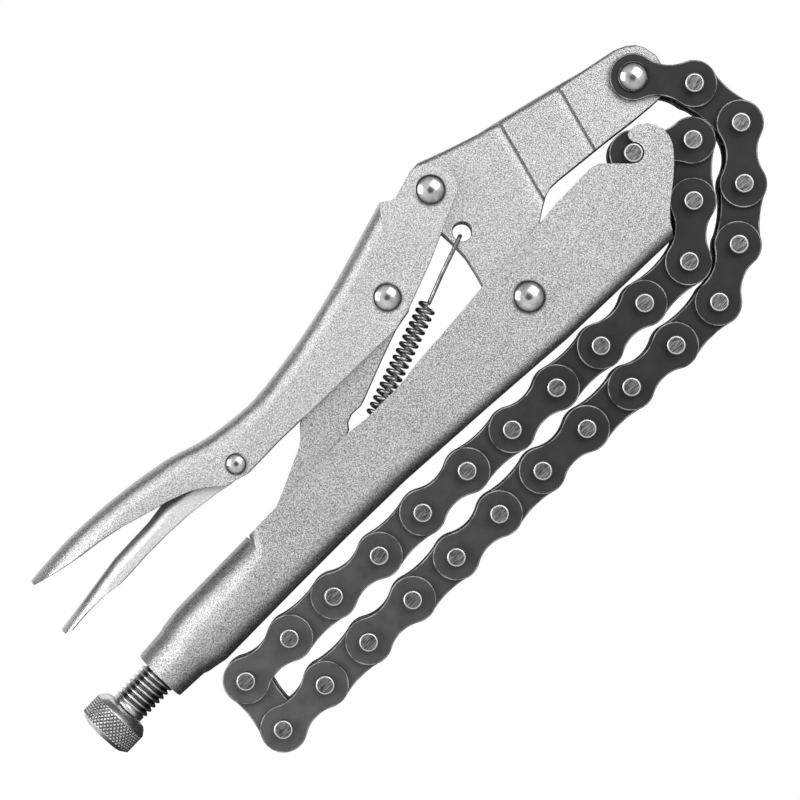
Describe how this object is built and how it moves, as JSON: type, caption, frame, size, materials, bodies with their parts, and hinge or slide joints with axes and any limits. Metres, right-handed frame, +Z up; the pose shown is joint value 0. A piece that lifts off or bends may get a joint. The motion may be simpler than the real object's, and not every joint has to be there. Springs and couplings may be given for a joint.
{
  "type": "locking chain clamp",
  "caption": "Locking plier with a sprung arm, toggle handle and release lever, whose roller chain wraps round work and hooks into the body's nose.",
  "frame": {"origin": "centre of the bounding box, at the level of the surface that the tool lies on", "axes": "+X along the adjusting screw towards the hook, +Y from the body towards the handle, +Z up through the tool's thickness"},
  "size_m": [0.237, 0.0876, 0.03],
  "materials": {
    "body_steel": "blasted satin",
    "arm_steel": "blasted satin",
    "handle_steel": "blasted satin",
    "link_steel": "satin",
    "lever_steel": "satin",
    "rivet_steel": "polished dome",
    "screw_steel": "bright",
    "knob_steel": "knurled",
    "chain_steel": "black oxide, worn bright at the edges",
    "spring_steel": "dark"
  },
  "bodies": {
    "body": {"body": "body_steel", "body_rivet": "rivet_steel", "spring": "spring_steel"},
    "arm": {"arm": "arm_steel", "chain_rivet": "rivet_steel"},
    "handle": {"handle": "handle_steel", "handle_rivet": "rivet_steel", "link_rivet": "rivet_steel", "lever_rivet": "rivet_steel"},
    "toggle_link": {"toggle_link": "link_steel"},
    "release_lever": {"release_lever": "lever_steel"},
    "screw": {"screw_shank": "screw_steel"},
    "knob": {"screw_knob": "knob_steel"},
    "chain_link_01": {"chain_link_01": "chain_steel"},
    "chain_link_02": {"chain_link_02": "chain_steel"},
    "chain_link_16": {"chain_link_16": "chain_steel"},
    "chain_link_28": {"chain_link_28": "chain_steel"},
    "chain_link_29": {"chain_link_29": "chain_steel"},
    "chain_bend": {"chain_link_03": "chain_steel", "chain_link_04": "chain_steel"},
    "chain_lower": {"chain_link_05": "chain_steel", "chain_link_06": "chain_steel", "chain_link_07": "chain_steel", "chain_link_08": "chain_steel", "chain_link_09": "chain_steel", "chain_link_10": "chain_steel", "chain_link_11": "chain_steel", "chain_link_12": "chain_steel", "chain_link_13": "chain_steel", "chain_link_14": "chain_steel", "chain_link_15": "chain_steel"},
    "chain_upper": {"chain_link_17": "chain_steel", "chain_link_18": "chain_steel", "chain_link_19": "chain_steel", "chain_link_20": "chain_steel", "chain_link_21": "chain_steel", "chain_link_22": "chain_steel", "chain_link_23": "chain_steel", "chain_link_24": "chain_steel", "chain_link_25": "chain_steel", "chain_link_26": "chain_steel", "chain_link_27": "chain_steel"}
  },
  "joints": [
    {"name": "handle_opening", "type": "hinge", "parent": "arm", "child": "handle", "pos_m": [0.0437, 0.03641, 0.01498], "axis": [0, 0, -1], "range_deg": [0, 30]},
    {"name": "arm_opening", "type": "hinge", "parent": "body", "child": "arm", "pos_m": [0.04153, -0.00129, 0.01498], "axis": [0, 0, 1], "range_deg": [0, 4], "deforming": ["spring"]},
    {"name": "toggle_fold", "type": "hinge", "parent": "handle", "child": "toggle_link", "pos_m": [0.0158, 0.02511, 0.01498], "axis": [0, 0, 1], "range_deg": [0, 39.25]},
    {"name": "release_lever_press", "type": "hinge", "parent": "handle", "child": "release_lever", "pos_m": [-0.04269, 0.02331, 0.01498], "axis": [0, 0, -1], "range_deg": [0, 8]},
    {"name": "screw_travel", "type": "slide", "parent": "body", "child": "screw", "axis": [-1, 0, 0], "range_m": [0, 0.0116]},
    {"name": "knob_turn", "type": "hinge", "parent": "screw", "child": "knob", "pos_m": [-0.0968, -0.00059, 0.01498], "axis": [1, 0, 0], "range_deg": [0, 2695]},
    {"name": "chain_pin_01", "type": "hinge", "parent": "arm", "child": "chain_link_01", "pos_m": [0.10171, 0.01901, 0.01498], "axis": [0, 0, 1], "range_deg": [-10.67, 0]},
    {"name": "chain_pin_02", "type": "hinge", "parent": "chain_link_01", "child": "chain_link_02", "pos_m": [0.11137, 0.00641, 0.01498], "axis": [0, 0, 1], "range_deg": [0, 26.59]},
    {"name": "chain_pin_03", "type": "hinge", "parent": "chain_link_02", "child": "chain_bend", "pos_m": [0.11239, -0.00943, 0.01498], "axis": [0, 0, 1], "range_deg": [-9.61, 0]},
    {"name": "chain_pin_05", "type": "hinge", "parent": "chain_bend", "child": "chain_lower", "pos_m": [0.08925, -0.03105, 0.01498], "axis": [0, 0, 1], "range_deg": [-10.29, 0]},
    {"name": "chain_pin_16", "type": "hinge", "parent": "chain_lower", "child": "chain_link_16", "pos_m": [-0.08378, -0.03352, 0.01498], "axis": [0, 0, 1], "range_deg": [0, 23.65]},
    {"name": "chain_pin_17", "type": "hinge", "parent": "chain_link_16", "child": "chain_upper", "pos_m": [-0.08151, -0.0178, 0.01498], "axis": [0, 0, 1], "range_deg": [-23.71, 0]},
    {"name": "chain_unhook", "type": "hinge", "parent": "chain_upper", "child": "chain_link_28", "pos_m": [0.08924, -0.01471, 0.01498], "axis": [0, 0, 1], "range_deg": [0, 8]},
    {"name": "chain_pin_29", "type": "hinge", "parent": "chain_link_28", "child": "chain_link_29", "pos_m": [0.10052, -0.00354, 0.01498], "axis": [0, 0, 1], "range_deg": [-8.81, 0]}
  ],
  "couplings": [
    {"joint": "arm_opening", "follows": "handle_opening", "ratio": 0.13295},
    {"joint": "toggle_fold", "follows": "handle_opening", "ratio": 1.3081},
    {"joint": "knob_turn", "follows": "screw_travel", "rad_per_m": 4053.7},
    {"joint": "chain_pin_01", "follows": "handle_opening", "ratio": -0.35487},
    {"joint": "chain_pin_02", "follows": "handle_opening", "ratio": 0.88574},
    {"joint": "chain_pin_03", "follows": "handle_opening", "ratio": -0.31953},
    {"joint": "chain_pin_05", "follows": "handle_opening", "ratio": -0.34222},
    {"joint": "chain_pin_16", "follows": "handle_opening", "ratio": 0.78773},
    {"joint": "chain_pin_17", "follows": "handle_opening", "ratio": -0.78976},
    {"joint": "chain_pin_29", "follows": "chain_unhook", "ratio": -1.1}
  ]
}
